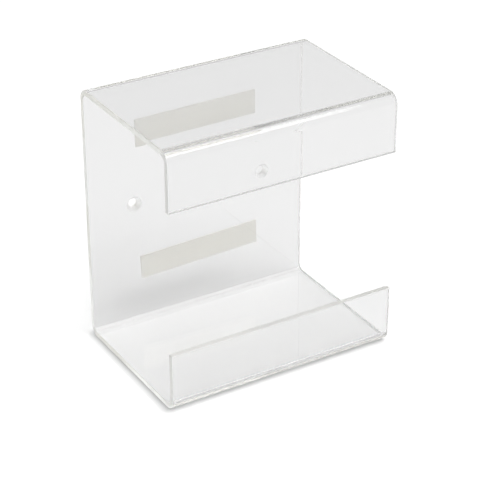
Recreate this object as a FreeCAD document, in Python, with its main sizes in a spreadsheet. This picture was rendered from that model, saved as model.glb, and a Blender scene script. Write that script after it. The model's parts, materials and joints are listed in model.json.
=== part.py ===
"""Wall dispenser for a carton of lab wipes, line-bent from one sheet of clear acrylic.

Millimetres. X is the width, -Y the open front, +Y the wall side, +Z up. The origin is on the ground,
under the middle of the whole object, strips included.
"""
import FreeCAD, Part
import math
import os

import Sketcher

# Driving dimensions: alias, value, what it measures
SIZES = (
    ("overall_width", 138.4, "length of every bend, end face to end face"),
    ("overall_depth", 95.6, "front of the lips to the rear of the back panel"),
    ("overall_height", 152.4, "underside of the base to the top of the top panel"),
    ("sheet_thickness", 3.2, "acrylic sheet, the same in flats and bends"),
    ("inner_bend_radius", 3.7, "inside radius of the four line bends"),
    ("top_lip_height", 33.7, "lip below the top panel, from the top surface down"),
    ("base_lip_height", 35.1, "lip above the base panel, from the underside up"),
    ("edge_round", 0.3, "flame-polished radius of every cut edge"),
    ("hole_spacing", 82.0, "between the axes of the two screw holes"),
    ("hole_height", 76.0, "axes of the screw holes above the underside"),
    ("hole_bore", 5.0, "diameter of the screw holes"),
    ("countersink_diameter", 9.0, "mouth of the countersink, on the inner face"),
    ("countersink_angle", 82.0, "included angle of the countersink, in degrees"),
    ("strip_length", 76.4, "mounting strip, along the panel"),
    ("strip_width", 14.5, "mounting strip, up the panel"),
    ("tape_thickness", 1.0, "foam tape with its adhesive"),
    ("liner_thickness", 0.2, "peel-off liner on the tape"),
    ("upper_strip_offset", 0.4, "middle of the upper strip, right of the centre line"),
    ("upper_strip_height", 117.0, "middle of the upper strip above the underside"),
    ("upper_strip_tilt", 0.5, "right end of the upper strip up, in degrees"),
    ("lower_strip_offset", 1.4, "middle of the lower strip, right of the centre line"),
    ("lower_strip_height", 34.6, "middle of the lower strip above the underside"),
    ("lower_strip_tilt", 2.0, "right end of the lower strip up, in degrees"),
)

# The object is centred over its origin, so the rear face stands forward by half of what the strips add
REAR_FACE = "(Sizes.overall_depth - Sizes.tape_thickness - Sizes.liner_thickness) / 2"
FRONT_FACE_DISTANCE = "(Sizes.overall_depth + Sizes.tape_thickness + Sizes.liner_thickness) / 2"
BACK_PANEL_INNER_FACE = f"{REAR_FACE} - Sizes.sheet_thickness"
TAPE_OUTER_FACE = f"{REAR_FACE} + Sizes.tape_thickness"
OUTER_BEND_RADIUS = "Sizes.inner_bend_radius + Sizes.sheet_thickness"

QUARTER_TURN = math.pi / 2
FULL_TURN = 2 * math.pi
TOUCHING = 1e-6
START, END, CENTRE = 1, 2, 3
ORIGIN = -1
ROOT_POINT = 1


def make_size_sheet(doc):
    """Writes every driving dimension to its own cell, with its alias and a note."""
    sheet = doc.addObject("Spreadsheet::Sheet", "Sizes")
    for row, (alias, value, note) in enumerate(SIZES, start=1):
        sheet.set(f"A{row}", alias)
        sheet.set(f"B{row}", str(value))
        sheet.set(f"C{row}", note)
        sheet.setAlias(f"B{row}", alias)
    doc.recompute()
    return sheet


def new_sketch(body, role, name):
    """Adds a sketch on one of the body's own origin planes."""
    plane = next(item for item in body.Origin.OriginFeatures if item.Role == role)
    sketch = body.newObject("Sketcher::SketchObject", name)
    sketch.AttachmentSupport = [(plane, "")]
    sketch.MapMode = "FlatFace"
    return sketch


def add_named(sketch, name, expression, kind, *ends):
    """Adds a constraint with a name, at the size drawn, and binds it to an expression of the sheet."""
    if kind == "Radius":
        drawn = sketch.Geometry[ends[0]].Radius
    else:
        span = sketch.getPoint(*ends[2:]) - sketch.getPoint(*ends[:2])
        drawn = span.x if kind == "DistanceX" else span.y
    index = sketch.addConstraint(Sketcher.Constraint(kind, *ends, drawn))
    sketch.renameConstraint(index, name)
    sketch.setExpression(f"Constraints.{name}", expression)


def outline_corners(sheet):
    """Corners (y, z, radius) of the folded sheet's section, as if its bends were sharp.

    The order runs from the base lip's free end round the outside to the top lip's free end,
    and back along the inside.
    """
    front = -(sheet.overall_depth + sheet.tape_thickness + sheet.liner_thickness) / 2
    back = front + sheet.overall_depth
    top = sheet.overall_height
    wall = sheet.sheet_thickness
    inner = sheet.inner_bend_radius
    outer = inner + wall
    base_lip_end = sheet.base_lip_height
    top_lip_end = top - sheet.top_lip_height
    return (
        (front, base_lip_end, 0),
        (front, 0, outer),
        (back, 0, outer),
        (back, top, outer),
        (front, top, outer),
        (front, top_lip_end, 0),
        (front + wall, top_lip_end, 0),
        (front + wall, top - wall, inner),
        (back - wall, top - wall, inner),
        (back - wall, wall, inner),
        (front + wall, wall, inner),
        (front + wall, base_lip_end, 0),
    )


def draw_rounded_outline(sketch, corners):
    """Draws the closed outline as lines and tangent quarter arcs.

    Returns the numbers of the lines, one after each corner, and of the arcs, by corner.
    """
    count = len(corners)
    points = [FreeCAD.Vector(y, z, 0) for y, z, _ in corners]
    onward = [(points[(i + 1) % count] - points[i]).normalize() for i in range(count)]
    lines = []
    for i in range(count):
        begin = points[i] + onward[i] * corners[i][2]
        finish = points[(i + 1) % count] - onward[i] * corners[(i + 1) % count][2]
        lines.append(sketch.addGeometry(Part.LineSegment(begin, finish), False))
    arcs = {}
    for i in range(count):
        radius = corners[i][2]
        if not radius:
            continue
        arrive = onward[i - 1]
        centre = points[i] - arrive * radius + onward[i] * radius
        left_turn = arrive.cross(onward[i]).z > 0
        first = -onward[i] if left_turn else arrive
        angle = math.atan2(first.y, first.x) % FULL_TURN
        circle = Part.Circle(centre, FreeCAD.Vector(0, 0, 1), radius)
        arcs[i] = sketch.addGeometry(Part.ArcOfCircle(circle, angle, angle + QUARTER_TURN), False)
    return lines, arcs


def join_ends(sketch, first, first_end, second):
    """Ties the end of one edge to whichever end of the next one lies there, tangent if it is an arc."""
    place = sketch.getPoint(first, first_end)
    for second_end in (START, END):
        if place.distanceToPoint(sketch.getPoint(second, second_end)) < TOUCHING:
            kinds = {sketch.Geometry[item].TypeId for item in (first, second)}
            kind = "Tangent" if "Part::GeomArcOfCircle" in kinds else "Coincident"
            sketch.addConstraint(Sketcher.Constraint(kind, first, first_end, second, second_end))
            return
    raise ValueError("two neighbouring edges of the outline don't meet")


def make_section_sketch(body, sheet):
    """Draws the folded sheet's section in the YZ plane and ties it to the driving dimensions."""
    sketch = new_sketch(body, "YZ_Plane", "FoldedSection")
    corners = outline_corners(sheet)
    lines, arcs = draw_rounded_outline(sketch, corners)
    count = len(corners)
    for i in range(count):
        following = (i + 1) % count
        if following in arcs:
            join_ends(sketch, lines[i], END, arcs[following])
            join_ends(sketch, lines[following], START, arcs[following])
        else:
            join_ends(sketch, lines[i], END, lines[following])
    for i in range(count):
        upright = abs(corners[i][0] - corners[(i + 1) % count][0]) < TOUCHING
        sketch.addConstraint(Sketcher.Constraint("Vertical" if upright else "Horizontal", lines[i]))

    base_lip, base, back, top, top_lip, top_lip_end = lines[:6]
    top_lip_inside, top_inside, back_inside, base_inside, base_lip_inside, base_lip_end = lines[6:]
    outer_arcs = [arcs[i] for i in sorted(arcs) if i < count / 2]
    inner_arcs = [arcs[i] for i in sorted(arcs) if i > count / 2]
    for group in (outer_arcs, inner_arcs):
        for other in group[1:]:
            sketch.addConstraint(Sketcher.Constraint("Equal", group[0], other))
    add_named(sketch, "outer_radius", OUTER_BEND_RADIUS, "Radius", outer_arcs[0])
    add_named(sketch, "inner_radius", "Sizes.inner_bend_radius", "Radius", inner_arcs[0])

    sketch.addConstraint(Sketcher.Constraint("Vertical", base_lip, START, top_lip, END))
    sketch.addConstraint(Sketcher.Constraint("PointOnObject", base, START, ORIGIN))
    distances = (
        ("front_place", FRONT_FACE_DISTANCE, "DistanceX", base_lip, START, ORIGIN, ROOT_POINT),
        ("depth", "Sizes.overall_depth", "DistanceX", base_lip, START, back, START),
        ("height", "Sizes.overall_height", "DistanceY", base, START, top, START),
        ("base_lip", "Sizes.base_lip_height", "DistanceY", base, START, base_lip, START),
        ("top_lip", "Sizes.top_lip_height", "DistanceY", top_lip, END, top, START),
        ("base_lip_wall", "Sizes.sheet_thickness", "DistanceX", base_lip, START, base_lip_inside, END),
        ("top_lip_wall", "Sizes.sheet_thickness", "DistanceX", top_lip, END, top_lip_inside, START),
        ("base_wall", "Sizes.sheet_thickness", "DistanceY", base, START, base_inside, END),
        ("top_wall", "Sizes.sheet_thickness", "DistanceY", top_inside, START, top, START),
        ("back_wall", "Sizes.sheet_thickness", "DistanceX", back_inside, START, back, START),
    )
    for name, expression, *constraint in distances:
        add_named(sketch, name, expression, *constraint)
    return sketch


def make_hole_sketch(body, sheet):
    """Draws the two screw holes' circles on the back panel's inner face."""
    sketch = new_sketch(body, "XZ_Plane", "HolePlaces")
    sketch.setExpression(".AttachmentOffset.Base.z", f"-({BACK_PANEL_INNER_FACE})")
    upward = FreeCAD.Vector(0, 0, 1)
    radius = sheet.hole_bore / 2
    for side, name in ((-1, "left"), (1, "right")):
        centre = FreeCAD.Vector(side * sheet.hole_spacing / 2, sheet.hole_height, 0)
        circle = sketch.addGeometry(Part.Circle(centre, upward, radius), False)
        inwards = (circle, CENTRE, ORIGIN, ROOT_POINT)
        outwards = (ORIGIN, ROOT_POINT, circle, CENTRE)
        across = inwards if side < 0 else outwards
        add_named(sketch, f"{name}_place", "Sizes.hole_spacing / 2", "DistanceX", *across)
        add_named(sketch, f"{name}_height", "Sizes.hole_height", "DistanceY", *outwards)
        add_named(sketch, f"{name}_radius", "Sizes.hole_bore / 2", "Radius", circle)
    return sketch


def cut_edges(shape, sheet):
    """Names the edges left by the saw: both end outlines and the ends of the lips."""
    end_plane = sheet.overall_width / 2
    lip_ends = (sheet.base_lip_height, sheet.overall_height - sheet.top_lip_height)
    names = []
    for number, edge in enumerate(shape.Edges, start=1):
        box = edge.BoundBox
        on_end = abs(abs(box.Center.x) - end_plane) < TOUCHING and box.XLength < TOUCHING
        level = box.ZLength < TOUCHING
        on_lip = level and any(abs(box.Center.z - lip_end) < TOUCHING for lip_end in lip_ends)
        if on_end or on_lip:
            names.append(f"Edge{number}")
    return names


def make_acrylic_body(doc, sheet):
    """The folded sheet: one section pulled out to its width, drilled, with its cut edges polished."""
    body = doc.addObject("PartDesign::Body", "acrylic_body")
    section = make_section_sketch(body, sheet)
    folded = body.newObject("PartDesign::Pad", "FoldedSheet")
    folded.Profile = section
    folded.SideType = "Symmetric"
    folded.setExpression("Length", "Sizes.overall_width")
    doc.recompute()

    places = make_hole_sketch(body, sheet)
    doc.recompute()
    before = folded.Shape.Volume
    holes = body.newObject("PartDesign::Hole", "ScrewHoles")
    holes.Profile = places
    doc.recompute()
    holes.ThreadType = "None"
    holes.DepthType = "Dimension"
    holes.DrillPoint = "Flat"
    holes.HoleCutType = "Countersink"
    holes.HoleCutCustomValues = True
    holes.setExpression("Diameter", "Sizes.hole_bore")
    holes.setExpression("Depth", "2 * Sizes.sheet_thickness")
    holes.setExpression("HoleCutDiameter", "Sizes.countersink_diameter")
    holes.setExpression("HoleCutCountersinkAngle", "Sizes.countersink_angle")
    doc.recompute()
    if holes.Shape.Volume >= before:
        raise ValueError("the screw holes cut nothing")

    polished = body.newObject("PartDesign::Fillet", "PolishedEdges")
    polished.Base = (holes, cut_edges(holes.Shape, sheet))
    polished.setExpression("Radius", "Sizes.edge_round")
    body.Tip = polished
    doc.recompute()
    return body


def make_strip_layer(doc, name, strip, thickness, seat):
    """One layer of a mounting strip, laid on its seat and turned as it was stuck on.

    strip is upper_strip or lower_strip. thickness is the layer's size in the sheet, and seat is the
    expression for the face that it lies on.
    """
    body = doc.addObject("PartDesign::Body", name)
    sketch = new_sketch(body, "XZ_Plane", f"{name}_outline")
    sheet = doc.getObject("Sizes")
    half_length = sheet.strip_length / 2
    half_width = sheet.strip_width / 2
    corners = [
        FreeCAD.Vector(across * half_length, up * half_width, 0)
        for across, up in ((-1, -1), (1, -1), (1, 1), (-1, 1))
    ]
    count = len(corners)
    sides = [
        sketch.addGeometry(Part.LineSegment(corners[i], corners[(i + 1) % count]), False)
        for i in range(count)
    ]
    for i in range(count):
        join_ends(sketch, sides[i], END, sides[(i + 1) % count])
        sketch.addConstraint(Sketcher.Constraint("Vertical" if i % 2 else "Horizontal", sides[i]))
    bottom, right = sides[:2]
    add_named(sketch, "length", "Sizes.strip_length", "DistanceX", bottom, START, bottom, END)
    add_named(sketch, "width", "Sizes.strip_width", "DistanceY", right, START, right, END)
    sketch.addConstraint(Sketcher.Constraint("Symmetric", bottom, START, right, END, ORIGIN, ROOT_POINT))
    layer = body.newObject("PartDesign::Pad", f"{name}_layer")
    layer.Profile = sketch
    layer.Reversed = True
    layer.setExpression("Length", thickness)
    towards_front = FreeCAD.Vector(0, -1, 0)
    tilt = getattr(sheet, f"{strip}_tilt")
    body.Placement = FreeCAD.Placement(FreeCAD.Vector(), FreeCAD.Rotation(towards_front, tilt))
    body.setExpression(".Placement.Base.x", f"Sizes.{strip}_offset")
    body.setExpression(".Placement.Base.y", seat)
    body.setExpression(".Placement.Base.z", f"Sizes.{strip}_height")
    body.setExpression(".Placement.Rotation.Angle", f"Sizes.{strip}_tilt")
    return body


def check(doc, bodies):
    """Stops if any object failed, any sketch can still move, or any piece isn't one valid solid."""
    for item in doc.Objects:
        if "Invalid" in item.State or "Error" in item.State:
            raise ValueError(f"{item.Name} failed")
        if item.TypeId == "Sketcher::SketchObject" and not item.FullyConstrained:
            raise ValueError(f"{item.Name} isn't fully constrained")
    for body in bodies:
        shape = body.Shape
        if shape.isNull() or not shape.isValid() or len(shape.Solids) != 1:
            raise ValueError(f"{body.Label} isn't one valid solid")


def main():
    """Builds the document and writes each piece to its own file."""
    doc = FreeCAD.newDocument("WipeDispenser")
    sheet = make_size_sheet(doc)
    bodies = [make_acrylic_body(doc, sheet)]
    for strip in ("upper", "lower"):
        bodies.append(make_strip_layer(
            doc, f"{strip}_foam_tape", f"{strip}_strip", "Sizes.tape_thickness", REAR_FACE))
        bodies.append(make_strip_layer(
            doc, f"{strip}_release_liner", f"{strip}_strip", "Sizes.liner_thickness", TAPE_OUTER_FACE))
    doc.recompute()
    check(doc, bodies)
    os.makedirs("parts", exist_ok=True)
    for body in bodies:
        box = body.Shape.BoundBox
        print(body.Label, "volume", round(body.Shape.Volume, 1), "box", box)
        body.Shape.exportStep(f"parts/{body.Label}.step")


main()
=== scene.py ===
"""Dresses the clear acrylic wipe dispenser: the folded sheet, its mounting strips and a white studio.

Everything is in metres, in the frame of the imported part: X along the bends, -Y the open front, +Z up.
"""
import json
import logging
import math
from collections.abc import Callable
from dataclasses import dataclass, field
from enum import Enum

import bpy
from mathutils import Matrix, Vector


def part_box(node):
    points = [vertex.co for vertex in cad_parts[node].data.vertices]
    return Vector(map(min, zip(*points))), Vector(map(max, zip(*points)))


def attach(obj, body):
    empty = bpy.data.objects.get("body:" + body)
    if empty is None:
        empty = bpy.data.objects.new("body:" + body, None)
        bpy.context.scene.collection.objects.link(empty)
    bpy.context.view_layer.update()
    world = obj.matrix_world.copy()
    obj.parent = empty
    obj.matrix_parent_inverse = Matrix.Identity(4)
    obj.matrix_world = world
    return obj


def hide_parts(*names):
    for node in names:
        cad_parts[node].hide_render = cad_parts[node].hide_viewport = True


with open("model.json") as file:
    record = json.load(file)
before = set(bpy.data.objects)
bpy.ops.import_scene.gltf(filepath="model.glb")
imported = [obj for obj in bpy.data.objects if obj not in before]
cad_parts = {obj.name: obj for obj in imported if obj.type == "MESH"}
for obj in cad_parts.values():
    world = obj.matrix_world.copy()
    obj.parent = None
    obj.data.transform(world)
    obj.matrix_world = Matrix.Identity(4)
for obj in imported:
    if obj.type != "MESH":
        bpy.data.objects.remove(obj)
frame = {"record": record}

Colour = tuple[float, float, float, float]

LOG = logging.getLogger("wipe_dispenser")
MM = 0.001
QUARTER_TURN = math.radians(90.0)
SMOOTH_ANGLE = math.radians(35.0)
ROUND_PROFILE = 0.5
CUT_ATTRIBUTE = "cut"
STRIP_TILTS = {"upper": math.radians(0.5), "lower": math.radians(2.0)}


class Slot(Enum):
    """The record's material slots."""

    ACRYLIC = "clear_acrylic"
    TAPE = "foam_tape"
    LINER = "release_liner"


class Cut(Enum):
    """How a face of the sheet was made, as its value in the mesh's cut attribute."""

    POLISHED = 0.0
    SAWN = 0.5
    DRILLED = 1.0


def grey(level: float) -> Colour:
    """Gives the opaque grey of one level."""
    return (level, level, level, 1.0)


def towards(bearing: float, height: float) -> Vector:
    """Gives the direction at a bearing, counted from the front to the right, and a height above the horizon.

    Args:
        bearing: angle from -Y towards +X, in radians.
        height: angle above the horizon, in radians.

    Returns:
        The unit vector.
    """
    level = math.cos(height)
    return Vector((math.sin(bearing) * level, -math.cos(bearing) * level, math.sin(height)))


def deselect_all() -> None:
    """Leaves nothing selected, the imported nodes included."""
    for item in bpy.context.selected_objects:
        item.select_set(False)


def pick(piece: bpy.types.Object) -> None:
    """Makes one piece active and the only one selected.

    Args:
        piece: the object to work on.
    """
    deselect_all()
    piece.select_set(True)
    bpy.context.view_layer.objects.active = piece


def start_primitive(add: Callable[..., object], name: str, **options: object) -> bpy.types.Object:
    """Adds a primitive by itself and names it.

    Args:
        add: the operator that adds the primitive.
        name: the new object's name.
        **options: what the operator is given.

    Returns:
        The new object, active and the only one selected.
    """
    deselect_all()
    add(**options)
    piece = bpy.context.active_object
    piece.name = name
    piece.data.name = name
    return piece


def edit_mesh(piece: bpy.types.Object, kind: str, selected: str = "DESELECT") -> None:
    """Goes into edit mode on one piece.

    Args:
        piece: the object to edit.
        kind: VERT, EDGE or FACE, the select mode.
        selected: SELECT or DESELECT, what is done to the whole mesh first.
    """
    pick(piece)
    bpy.ops.object.mode_set(mode="EDIT")
    bpy.ops.mesh.select_mode(type=kind)
    bpy.ops.mesh.select_all(action=selected)


def select_edges(piece: bpy.types.Object, wanted: Callable[[Vector, Vector], bool]) -> None:
    """Selects the edges whose two ends pass a test, from edit mode and back into it.

    Args:
        piece: the object in edit mode.
        wanted: takes an edge's two end points and says whether it is selected.
    """
    bpy.ops.object.mode_set(mode="OBJECT")
    mesh = piece.data
    for edge in mesh.edges:
        first, second = (mesh.vertices[i].co for i in edge.vertices)
        edge.select = wanted(first, second)
    bpy.ops.object.mode_set(mode="EDIT")


def apply_modifier(piece: bpy.types.Object, kind: str, **settings: object) -> None:
    """Adds a modifier, sets it and applies it.

    Args:
        piece: the object that takes the modifier.
        kind: the modifier's type.
        **settings: the modifier's own values.
    """
    pick(piece)
    modifier = piece.modifiers.new(kind.lower(), kind)
    for key, value in settings.items():
        setattr(modifier, key, value)
    bpy.ops.object.modifier_apply(modifier=modifier.name)


def place_in_scene(name: str, data: bpy.types.ID, place: Vector, away: Vector) -> bpy.types.Object:
    """Puts a lamp or a camera in the scene, turned to look back along a direction.

    Args:
        name: the new object's name.
        data: the lamp or the camera.
        place: where it stands.
        away: the direction from what it looks at to itself.

    Returns:
        The new object.
    """
    holder = bpy.data.objects.new(name, data)
    bpy.context.scene.collection.objects.link(holder)
    holder.location = place
    holder.rotation_euler = away.to_track_quat("Z", "Y").to_euler()
    return holder


def new_material(name: str) -> tuple[bpy.types.Material, bpy.types.ShaderNodeTree]:
    """Starts a node material with a Principled shader.

    Args:
        name: the material's name.

    Returns:
        The material and its node tree.
    """
    material = bpy.data.materials.new(name)
    material.use_nodes = True
    return material, material.node_tree


@dataclass(frozen=True)
class AcrylicFinish:
    """Polished cast acrylic: clear, faintly olive in the depth, matt where a drill or saw has cut it."""

    tint: Colour = (0.985, 0.985, 0.985, 1.0)
    refraction: float = 1.49
    polished: float = 0.0
    sawn: float = 0.3
    drilled: float = 0.45
    wave_size: float = 26.0
    wave_detail: float = 1.0
    wave_height: float = 0.005
    absorbed: Colour = (0.40, 0.48, 0.0, 1.0)
    density: float = 0.28

    def build(self) -> bpy.types.Material:
        """Makes the material.

        Returns:
            The material for the folded sheet.
        """
        material, tree = new_material("polished_acrylic")
        shader = tree.nodes["Principled BSDF"]
        shader.inputs["Base Color"].default_value = self.tint
        shader.inputs["IOR"].default_value = self.refraction
        shader.inputs["Transmission Weight"].default_value = 1.0
        volume = tree.nodes.new("ShaderNodeVolumeAbsorption")
        volume.inputs["Color"].default_value = self.absorbed
        volume.inputs["Density"].default_value = self.density
        output = tree.nodes["Material Output"]
        tree.links.new(volume.outputs["Volume"], output.inputs["Volume"])
        cut = tree.nodes.new("ShaderNodeAttribute")
        cut.attribute_name = CUT_ATTRIBUTE
        roughness = tree.nodes.new("ShaderNodeValToRGB")
        ramp = roughness.color_ramp
        ramp.elements[0].color = grey(self.polished)
        ramp.elements[1].color = grey(self.drilled)
        middle = ramp.elements.new(Cut.SAWN.value)
        middle.color = grey(self.sawn)
        tree.links.new(cut.outputs["Fac"], roughness.inputs["Fac"])
        tree.links.new(roughness.outputs["Color"], shader.inputs["Roughness"])
        coordinates = tree.nodes.new("ShaderNodeTexCoord")
        noise = tree.nodes.new("ShaderNodeTexNoise")
        noise.inputs["Scale"].default_value = self.wave_size
        noise.inputs["Detail"].default_value = self.wave_detail
        bump = tree.nodes.new("ShaderNodeBump")
        bump.inputs["Strength"].default_value = self.wave_height
        bump.inputs["Distance"].default_value = MM
        tree.links.new(coordinates.outputs["Object"], noise.inputs["Vector"])
        tree.links.new(noise.outputs["Fac"], bump.inputs["Height"])
        tree.links.new(bump.outputs["Normal"], shader.inputs["Normal"])
        return material


@dataclass(frozen=True)
class StripFinish:
    """An off-white that wanders between two shades, as the foam of a tape and the paper of a liner do."""

    name: str
    light: Colour
    dark: Colour
    grain: float
    roughness: float

    def build(self) -> bpy.types.Material:
        """Makes the material.

        Returns:
            The material for one layer of the strips.
        """
        material, tree = new_material(self.name)
        shader = tree.nodes["Principled BSDF"]
        shader.inputs["Roughness"].default_value = self.roughness
        coordinates = tree.nodes.new("ShaderNodeTexCoord")
        noise = tree.nodes.new("ShaderNodeTexNoise")
        noise.inputs["Scale"].default_value = self.grain
        shades = tree.nodes.new("ShaderNodeMix")
        shades.data_type = "RGBA"
        shades.inputs["A"].default_value = self.dark
        shades.inputs["B"].default_value = self.light
        tree.links.new(coordinates.outputs["Object"], noise.inputs["Vector"])
        tree.links.new(noise.outputs["Fac"], shades.inputs["Factor"])
        tree.links.new(shades.outputs["Result"], shader.inputs["Base Color"])
        return material


FOAM = StripFinish(
    name="foam_tape",
    light=(0.92, 0.91, 0.875, 1.0),
    dark=(0.88, 0.87, 0.835, 1.0),
    grain=900.0,
    roughness=0.6,
)
WAXED_PAPER = StripFinish(
    name="release_liner",
    light=(0.90, 0.89, 0.85, 1.0),
    dark=(0.85, 0.84, 0.80, 1.0),
    grain=400.0,
    roughness=0.35,
)


@dataclass
class FoldedSheet:
    """The one-piece acrylic body: a flat sheet with four line bends and two screw holes."""

    sheet_thickness: float = 3.2 * MM
    inner_bend_radius: float = 3.7 * MM
    top_lip_height: float = 33.7 * MM
    base_lip_height: float = 35.1 * MM
    edge_round: float = 0.3 * MM
    edge_steps: int = 3
    bend_steps: int = 20
    countersink_radius: float = 4.5 * MM
    countersink_angle: float = math.radians(82.0)
    hole_sides: int = 64
    normal_weight: int = 100
    mark_reach: float = 1.1
    flat_facing: float = 0.99
    finish: AcrylicFinish = field(default_factory=AcrylicFinish)
    low: Vector = field(init=False)
    high: Vector = field(init=False)
    holes: list[Vector] = field(init=False, default_factory=list)

    @property
    def near(self) -> float:
        """Gives the distance within which a point counts as being at a place."""
        return self.edge_round / 2

    def build(self) -> bpy.types.Object:
        """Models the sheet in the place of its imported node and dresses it.

        Returns:
            The finished sheet.
        """
        self.low, self.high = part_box("acrylic_body")
        piece = self.fold()
        self.polish_edges(piece)
        self.drill(piece)
        self.smooth(piece)
        self.mark_cuts(piece)
        piece.data.materials.clear()
        piece.data.materials.append(self.finish.build())
        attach(piece, "root")
        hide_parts("acrylic_body")
        return piece

    def fold(self) -> bpy.types.Object:
        """Extrudes the outer skin panel by panel, rounds its folds and gives it the sheet's thickness.

        Returns:
            The sheet with its bends, its cut edges still sharp.
        """
        width = self.high.x - self.low.x
        depth = self.high.y - self.low.y
        height = self.high.z - self.low.z
        middle = (self.low + self.high) / 2
        piece = start_primitive(
            bpy.ops.mesh.primitive_plane_add,
            "folded_sheet",
            size=1.0,
            location=(middle.x, self.high.y, middle.z),
            rotation=(QUARTER_TURN, 0.0, 0.0),
        )
        piece.scale = (width, height, 1.0)
        bpy.ops.object.transform_apply(location=True, rotation=True, scale=True)
        edit_mesh(piece, "EDGE")
        near = self.near
        for level, turn, lip in (
            (self.high.z, -1.0, self.top_lip_height),
            (self.low.z, 1.0, self.base_lip_height),
        ):
            select_edges(piece, lambda a, b: abs(a.z - level) < near and abs(b.z - level) < near)
            bpy.ops.mesh.extrude_region_move(TRANSFORM_OT_translate={"value": (0.0, -depth, 0.0)})
            bpy.ops.mesh.extrude_region_move(TRANSFORM_OT_translate={"value": (0.0, 0.0, turn * lip)})

        def on_fold(first: Vector, second: Vector) -> bool:
            """Says whether an edge is one of the four sharp folds."""
            along = abs(first.x - second.x) > near
            return along and any(abs(first.z - end) < near for end in (self.low.z, self.high.z))

        select_edges(piece, on_fold)
        bpy.ops.mesh.bevel(
            offset=self.inner_bend_radius + self.sheet_thickness,
            offset_type="OFFSET",
            segments=self.bend_steps,
            profile=ROUND_PROFILE,
        )
        bpy.ops.mesh.select_all(action="SELECT")
        bpy.ops.mesh.normals_make_consistent(inside=False)
        bpy.ops.object.mode_set(mode="OBJECT")
        back_panel = max(piece.data.polygons, key=lambda face: face.area)
        if back_panel.normal.y < 0:
            edit_mesh(piece, "FACE", "SELECT")
            bpy.ops.mesh.flip_normals()
            bpy.ops.object.mode_set(mode="OBJECT")
        apply_modifier(
            piece,
            "SOLIDIFY",
            thickness=self.sheet_thickness,
            offset=-1.0,
            use_even_offset=True,
        )
        return piece

    def polish_edges(self, piece: bpy.types.Object) -> None:
        """Rounds the two end outlines and the free ends of the lips.

        Args:
            piece: the folded sheet.
        """
        near = self.near
        lip_ends = (self.low.z + self.base_lip_height, self.high.z - self.top_lip_height)

        def on_lip(first: Vector, second: Vector) -> bool:
            """Says whether an edge lies in the free end of a lip."""
            return any(abs(first.z - end) < near and abs(second.z - end) < near for end in lip_ends)

        def across(first: Vector, second: Vector) -> bool:
            """Says whether an edge only crosses the sheet's thickness between two bend steps."""
            length = (first - second).length
            return not on_lip(first, second) and abs(length - self.sheet_thickness) < near

        def sawn(first: Vector, second: Vector) -> bool:
            """Says whether an edge was left by the saw."""
            for side in (self.low.x, self.high.x):
                if abs(first.x - side) < near and abs(second.x - side) < near:
                    return not across(first, second)
            return on_lip(first, second)

        edit_mesh(piece, "EDGE")
        select_edges(piece, sawn)
        bpy.ops.mesh.bevel(
            offset=self.edge_round,
            offset_type="OFFSET",
            segments=self.edge_steps,
            profile=ROUND_PROFILE,
            miter_outer="SHARP",
        )
        bpy.ops.object.mode_set(mode="OBJECT")

    def drill(self, piece: bpy.types.Object) -> None:
        """Cuts the two countersunk screw holes where the record puts them.

        Args:
            piece: the folded sheet.
        """
        mount = next(item for item in frame["record"]["mounts"] if item["name"] == "screw_holes")
        bore_radius = mount["dims"]["hole_r_mm"] * MM
        half_spacing = mount["dims"]["spacing_x_mm"] * MM / 2
        centre = Vector(mount["pos_m"])
        inner_face = self.high.y - self.sheet_thickness
        for side in (-1.0, 1.0):
            place = (centre.x + side * half_spacing, inner_face - self.sheet_thickness, centre.z)
            self.holes.append(Vector(place))
            cutter = self.make_cutter(place, bore_radius)
            apply_modifier(piece, "BOOLEAN", operation="DIFFERENCE", object=cutter, solver="EXACT")
            bpy.data.objects.remove(cutter)

    def make_cutter(self, place: tuple[float, float, float], bore_radius: float) -> bpy.types.Object:
        """Models what the countersink bit takes away: a cone in front that narrows to the bore.

        Args:
            place: the middle of the cone's wide end, one sheet thickness in front of the inner face.
            bore_radius: radius of the straight bore.

        Returns:
            The cutter, a closed solid.
        """
        overrun = self.sheet_thickness
        slope = math.tan(self.countersink_angle / 2)
        sink_depth = (self.countersink_radius - bore_radius) / slope
        mouth = self.countersink_radius + overrun * slope
        cutter = start_primitive(
            bpy.ops.mesh.primitive_circle_add,
            "countersink_cutter",
            vertices=self.hole_sides,
            radius=mouth,
            fill_type="NGON",
            location=place,
            rotation=(QUARTER_TURN, 0.0, 0.0),
        )
        bpy.ops.object.transform_apply(location=True, rotation=True, scale=True)
        edit_mesh(cutter, "FACE", "SELECT")
        cone = (overrun + sink_depth, bore_radius / mouth)
        bore = (2 * self.sheet_thickness, 1.0)
        reached = place[1]
        for advance, shrink in (cone, bore):
            reached += advance
            bpy.ops.mesh.extrude_region_move(TRANSFORM_OT_translate={"value": (0.0, advance, 0.0)})
            bpy.ops.transform.resize(
                value=(shrink, 1.0, shrink),
                center_override=(place[0], reached, place[2]),
            )
        bpy.ops.mesh.select_all(action="SELECT")
        bpy.ops.mesh.normals_make_consistent(inside=False)
        bpy.ops.object.mode_set(mode="OBJECT")
        return cutter

    def smooth(self, piece: bpy.types.Object) -> None:
        """Shades the bends smooth and keeps the flats flat.

        Args:
            piece: the finished mesh.
        """
        pick(piece)
        bpy.ops.object.shade_smooth_by_angle(angle=SMOOTH_ANGLE)
        apply_modifier(piece, "WEIGHTED_NORMAL", keep_sharp=True, weight=self.normal_weight)

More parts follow.
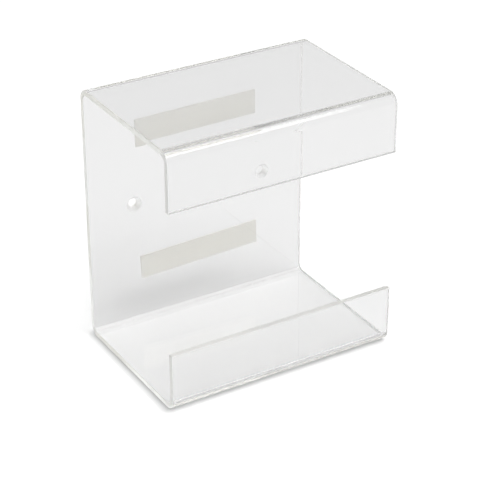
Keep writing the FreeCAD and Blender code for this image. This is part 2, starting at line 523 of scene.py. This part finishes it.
    def mark_cuts(self, piece: bpy.types.Object) -> None:
        """Marks each face as polished sheet, sawn edge or drilled hole.

        The two ends and the end of the base lip are left from the saw. The end of the top lip is polished.

        Args:
            piece: the finished mesh.
        """
        mesh = piece.data
        values = mesh.attributes.new(CUT_ATTRIBUTE, "FLOAT", "FACE").data
        base_lip_end = self.low.z + self.base_lip_height
        near = self.edge_round * self.mark_reach
        margin = self.countersink_radius * self.mark_reach
        for face, value in zip(mesh.polygons, values):
            centre = face.center
            at_end = min(centre.x - self.low.x, self.high.x - centre.x) < near
            at_lip = centre.y < self.low.y + self.sheet_thickness and abs(centre.z - base_lip_end) < near
            value.value = Cut.SAWN.value if at_end or at_lip else Cut.POLISHED.value
            for hole in self.holes:
                offset = centre - hole
                if math.hypot(offset.x, offset.z) < margin and abs(face.normal.y) < self.flat_facing:
                    value.value = Cut.DRILLED.value


@dataclass
class MountingStrip:
    """One strip of double-sided tape on the rear face, with its liner still on."""

    name: str
    tilt: float
    length: float = 76.4 * MM
    width: float = 14.5 * MM
    edge_round: float = 0.1 * MM
    edge_steps: int = 2
    most_of_layer: int = 3
    wetting: float = 0.03 * MM

    def build(self, tape: bpy.types.Material, liner: bpy.types.Material) -> list[bpy.types.Object]:
        """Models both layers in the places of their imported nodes.

        The tape reaches a hair into the sheet, as its adhesive wets the acrylic.

        Args:
            tape: the foam tape's material.
            liner: the release liner's material.

        Returns:
            The tape and the liner.
        """
        layers = (
            ("foam_tape", tape, Slot.TAPE, self.wetting),
            ("release_liner", liner, Slot.LINER, 0.0),
        )
        pieces = []
        for layer, material, slot, sunk in layers:
            node = f"{self.name}_{layer}"
            piece = self.build_layer(node, sunk)
            piece.data.materials.append(material)
            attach(piece, "root")
            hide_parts(node)
            pieces.append(piece)
        return pieces

    def build_layer(self, node: str, sunk: float) -> bpy.types.Object:
        """Models one layer with rounded edges.

        Args:
            node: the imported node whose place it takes.
            sunk: how far it reaches forward past that node.

        Returns:
            The layer, without a material.
        """
        low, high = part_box(node)
        middle = (low + high) / 2
        front = low.y - sunk
        piece = start_primitive(
            bpy.ops.mesh.primitive_cube_add,
            f"{node}_strip",
            size=1.0,
            location=(middle.x, (front + high.y) / 2, middle.z),
        )
        piece.scale = (self.length, high.y - front, self.width)
        piece.rotation_euler = (0.0, -self.tilt, 0.0)
        bpy.ops.object.transform_apply(location=True, rotation=True, scale=True)
        edit_mesh(piece, "EDGE", "SELECT")
        bpy.ops.mesh.bevel(
            offset=min(self.edge_round, (high.y - front) / self.most_of_layer),
            offset_type="OFFSET",
            segments=self.edge_steps,
            profile=ROUND_PROFILE,
        )
        bpy.ops.object.mode_set(mode="OBJECT")
        bpy.ops.object.shade_smooth_by_angle(angle=SMOOTH_ANGLE)
        return piece


@dataclass(frozen=True)
class Softbox:
    """A round soft lamp, seen from the object at a bearing and a height."""

    name: str
    bearing: float
    height: float
    spread: float
    brightness: float
    distance: float = 10.0

    def hang(self) -> None:
        """Hangs the lamp and turns it to the object."""
        radius = self.distance * math.tan(self.spread)
        lamp = bpy.data.lights.new(self.name, "AREA")
        lamp.shape = "DISK"
        lamp.size = 2 * radius
        # A flat lamp gives pi times its brightness from each square metre of its face
        lamp.energy = self.brightness * math.pi * math.pi * radius**2
        away = towards(self.bearing, self.height)
        place_in_scene(self.name, lamp, away * self.distance, away)


OVERHEAD_SOFTBOX = Softbox(
    name="overhead_softbox",
    bearing=math.radians(20.0),
    height=math.radians(64.5),
    spread=math.radians(23.0),
    brightness=3.62,
)


@dataclass
class Studio:
    """White sweep, a soft dome, one wide softbox and the camera of the product shot.

    The white background is for the camera's own rays. Through the sheet the lit floor shows, a shade
    darker, as in the photo.
    """

    azimuth: float = math.radians(-31.121)
    elevation: float = math.radians(28.919)
    distance: float = 0.97588
    target: tuple[float, float, float] = (0.00700, -0.00099, 0.05763)
    lens: float = 126.76
    sensor: float = 36.0
    nearest: float = 0.01
    farthest: float = 100.0
    floor_size: float = 12.0
    floor_gap: float = 0.2 * MM
    floor_colour: Colour = (0.85, 0.85, 0.85, 1.0)
    floor_glow: float = 0.22
    # Painted contact shadow: near the sheet, the floor is darkened by ambient occlusion, for the camera's
    # rays alone
    painted_shadow_reach: float = 5.0 * MM
    painted_shadow_strength: float = 0.7
    painted_shadow_bearing: float = math.radians(60.0)
    painted_shadow_height: float = math.radians(50.0)
    painted_shadow_samples: int = 16
    white: float = 1.0
    dome_level: float = 0.517
    dome_slope: tuple[float, float, float] = (0.136, 0.004, 0.044)
    light_bounces: int = 64
    gloss_blur: float = 0.0
    boxes: tuple[Softbox, ...] = (OVERHEAD_SOFTBOX,)

    def build(self) -> None:
        """Sets the floor, the light and the camera."""
        self.set_floor()
        self.set_world()
        for box in self.boxes:
            box.hang()
        self.set_camera()
        scene = bpy.context.scene
        scene.view_settings.view_transform = "Standard"
        scene.cycles.max_bounces = self.light_bounces
        scene.cycles.glossy_bounces = self.light_bounces
        scene.cycles.transmission_bounces = self.light_bounces
        scene.cycles.blur_glossy = self.gloss_blur

    def set_floor(self) -> None:
        """Lays a plain white floor, which the camera sees a little whiter than the sheet does, with a
        painted contact shadow along the sheet.
        """
        floor = start_primitive(
            bpy.ops.mesh.primitive_plane_add,
            "studio_floor",
            size=self.floor_size,
            location=(0.0, 0.0, -self.floor_gap),
        )
        bpy.ops.object.transform_apply(location=True)
        material, tree = new_material("white_floor")
        tree.nodes.remove(tree.nodes["Principled BSDF"])
        path = tree.nodes.new("ShaderNodeLightPath")
        # The painted contact shadow darkens both the floor's colour and its glow for the camera's rays
        shade = self.paint_contact_shadow(tree, path.outputs["Is Camera Ray"])
        colour = tree.nodes.new("ShaderNodeVectorMath")
        colour.operation = "SCALE"
        colour.inputs[0].default_value = self.floor_colour[:3]
        tree.links.new(shade, colour.inputs["Scale"])
        diffuse = tree.nodes.new("ShaderNodeBsdfDiffuse")
        tree.links.new(colour.outputs["Vector"], diffuse.inputs["Color"])
        glow = tree.nodes.new("ShaderNodeEmission")
        tree.links.new(shade, glow.inputs["Color"])
        strength = tree.nodes.new("ShaderNodeMath")
        strength.operation = "MULTIPLY"
        strength.inputs[1].default_value = self.floor_glow
        both = tree.nodes.new("ShaderNodeAddShader")
        tree.links.new(path.outputs["Is Camera Ray"], strength.inputs[0])
        tree.links.new(strength.outputs[0], glow.inputs["Strength"])
        tree.links.new(diffuse.outputs["BSDF"], both.inputs[0])
        tree.links.new(glow.outputs["Emission"], both.inputs[1])
        tree.links.new(both.outputs["Shader"], tree.nodes["Material Output"].inputs["Surface"])
        floor.data.materials.append(material)

    def paint_contact_shadow(
        self, tree: bpy.types.ShaderNodeTree, camera_ray: bpy.types.NodeSocket
    ) -> bpy.types.NodeSocket:
        """Paints a contact shadow into the floor for the camera's own rays: an ambient occlusion darkening
        close to where the sheet touches it, leaning so it is deepest on the side away from the lamp.

        Args:
            tree: the floor material's nodes.
            camera_ray: the socket that is 1 for the camera's own rays.

        Returns:
            The socket with the share of brightness that the painted shadow leaves.
        """
        share = tree.nodes.new("ShaderNodeMath")
        share.operation = "MULTIPLY"
        share.inputs[1].default_value = self.painted_shadow_strength
        tree.links.new(camera_ray, share.inputs[0])
        # Painted shadow: ambient occlusion within a few millimetres darkens the floor's colour near the
        # sheet
        contact = tree.nodes.new("ShaderNodeAmbientOcclusion")
        contact.samples = self.painted_shadow_samples
        contact.inputs["Distance"].default_value = self.painted_shadow_reach
        leaning = tree.nodes.new("ShaderNodeVectorMath")
        leaning.operation = "NORMALIZE"
        leaning.inputs[0].default_value = towards(self.painted_shadow_bearing, self.painted_shadow_height)
        tree.links.new(leaning.outputs["Vector"], contact.inputs["Normal"])
        shade = tree.nodes.new("ShaderNodeMix")
        shade.data_type = "FLOAT"
        shade.inputs["A"].default_value = self.white
        tree.links.new(share.outputs[0], shade.inputs["Factor"])
        tree.links.new(contact.outputs["AO"], shade.inputs["B"])
        return shade.outputs["Result"]

    def set_world(self) -> None:
        """Surrounds the scene with white for the camera and a slanting grey dome for the rest."""
        world = bpy.data.worlds.new("studio_world")
        world.use_nodes = True
        bpy.context.scene.world = world
        tree = world.node_tree
        background = tree.nodes["Background"]
        background.inputs["Color"].default_value = grey(self.white)
        coordinates = tree.nodes.new("ShaderNodeTexCoord")
        slant = tree.nodes.new("ShaderNodeVectorMath")
        slant.operation = "DOT_PRODUCT"
        slant.inputs[1].default_value = self.dome_slope
        level = tree.nodes.new("ShaderNodeMath")
        level.operation = "ADD"
        level.inputs[1].default_value = self.dome_level
        path = tree.nodes.new("ShaderNodeLightPath")
        mix = tree.nodes.new("ShaderNodeMix")
        mix.data_type = "FLOAT"
        mix.inputs["B"].default_value = self.white
        tree.links.new(coordinates.outputs["Generated"], slant.inputs[0])
        tree.links.new(slant.outputs["Value"], level.inputs[0])
        tree.links.new(level.outputs[0], mix.inputs["A"])
        tree.links.new(path.outputs["Is Camera Ray"], mix.inputs["Factor"])
        tree.links.new(mix.outputs["Result"], background.inputs["Strength"])

    def set_camera(self) -> None:
        """Puts the camera where the photograph was taken from."""
        camera = bpy.data.cameras.new("camera")
        camera.sensor_fit = "HORIZONTAL"
        camera.sensor_width = self.sensor
        camera.lens = self.lens
        camera.clip_start = self.nearest
        camera.clip_end = self.farthest
        away = towards(self.azimuth, self.elevation)
        place = Vector(self.target) + away * self.distance
        bpy.context.scene.camera = place_in_scene("camera", camera, place, away)


def main() -> None:
    logging.basicConfig(level=logging.INFO, format="%(message)s")
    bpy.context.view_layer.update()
    sheet = FoldedSheet().build()
    LOG.info("%s: %d faces", sheet.name, len(sheet.data.polygons))
    tape = FOAM.build()
    liner = WAXED_PAPER.build()
    for name, tilt in STRIP_TILTS.items():
        for piece in MountingStrip(name, tilt).build(tape, liner):
            LOG.info("%s: %d faces", piece.name, len(piece.data.polygons))
    Studio().build()


if __name__ == "__main__":
    main()
